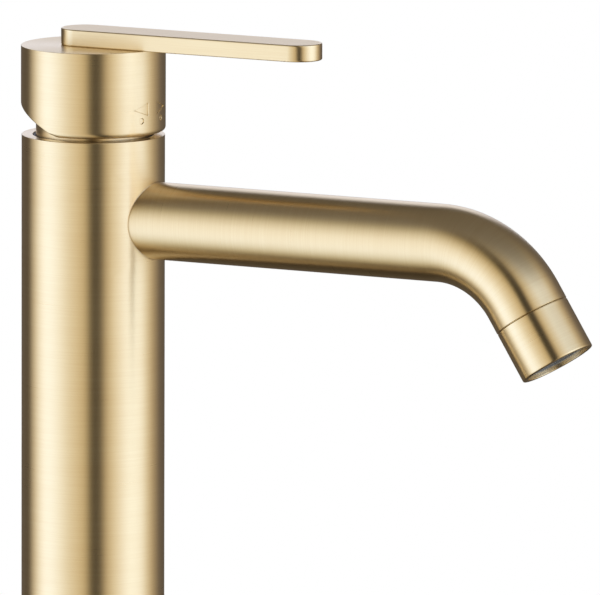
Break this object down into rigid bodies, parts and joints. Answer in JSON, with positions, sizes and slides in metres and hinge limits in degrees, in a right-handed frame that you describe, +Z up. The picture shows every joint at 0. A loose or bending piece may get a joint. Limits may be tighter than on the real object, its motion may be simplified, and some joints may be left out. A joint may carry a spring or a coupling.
{
  "type": "bathroom mixer faucet",
  "caption": "Tall basin mixer with a round column, a flat lever on a turning and lifting hub, a bent round spout and a hollow threaded mounting shank.",
  "frame": {"origin": "centre of the deck face under the base ring", "axes": "+Z up along the column, +X along the spout towards the basin"},
  "size_m": [0.2006, 0.054, 0.3604],
  "materials": {
    "brushed_gold": "gold PVD coat over fine circumferential brushing",
    "raw_brass": "machined brass",
    "stainless_steel": "turned stainless steel",
    "black_rubber": "matt moulded rubber",
    "black_plastic": "glass-filled plastic",
    "grey_plastic": "moulded acetal",
    "white_plastic": "moulded acetal",
    "red_plastic": "moulded acetal",
    "ceramic": "lapped alumina ceramic"
  },
  "bodies": {
    "body": {"base_ring": "brushed_gold", "base_gasket": "black_rubber", "column_tube": "brushed_gold", "foot_bush": "raw_brass", "mounting_shank": "raw_brass", "rubber_washer": "black_rubber", "steel_washer": "stainless_steel", "lock_nut": "raw_brass", "valve_body": "raw_brass", "spout_union": "raw_brass", "union_o_ring": "black_rubber", "spout_lock_screw": "stainless_steel", "spout_pipe": "brushed_gold", "nozzle_sleeve": "brushed_gold", "nozzle_o_ring": "black_rubber", "aerator_washer": "black_rubber", "aerator_body": "grey_plastic", "flow_regulator": "white_plastic", "aerator_screen": "stainless_steel", "aerator_honeycomb": "grey_plastic", "cartridge_base": "black_plastic", "port_seals": "black_rubber", "disc_seals": "black_rubber", "fixed_disc": "ceramic", "cartridge_housing": "white_plastic", "retaining_nut": "raw_brass", "trim_sleeve": "brushed_gold", "glide_ring": "black_plastic"},
    "rotor": {"rotor": "black_plastic", "pivot_pin": "stainless_steel", "limit_ring": "red_plastic"},
    "disc": {"moving_disc": "ceramic", "disc_carrier": "white_plastic"},
    "handle": {"stem": "stainless_steel", "handle_hub": "brushed_gold", "lever_blade": "brushed_gold", "lever_screws": "stainless_steel", "set_screw": "stainless_steel", "screw_cap": "brushed_gold"}
  },
  "joints": [
    {"name": "handle_turn", "type": "hinge", "parent": "body", "child": "rotor", "pos_m": [0, 0, 0.27], "axis": [0, 0, 1], "range_deg": [-50, 50]},
    {"name": "handle_lift", "type": "hinge", "parent": "rotor", "child": "handle", "pos_m": [0, 0, 0.27], "axis": [0, -1, 0], "range_deg": [0, 25]},
    {"name": "disc_slide", "type": "slide", "parent": "rotor", "child": "disc", "axis": [1, 0, 0], "range_m": [0, 0.0057]}
  ],
  "couplings": [
    {"joint": "disc_slide", "follows": "handle_lift", "m_per_rad": 0.0128}
  ]
}
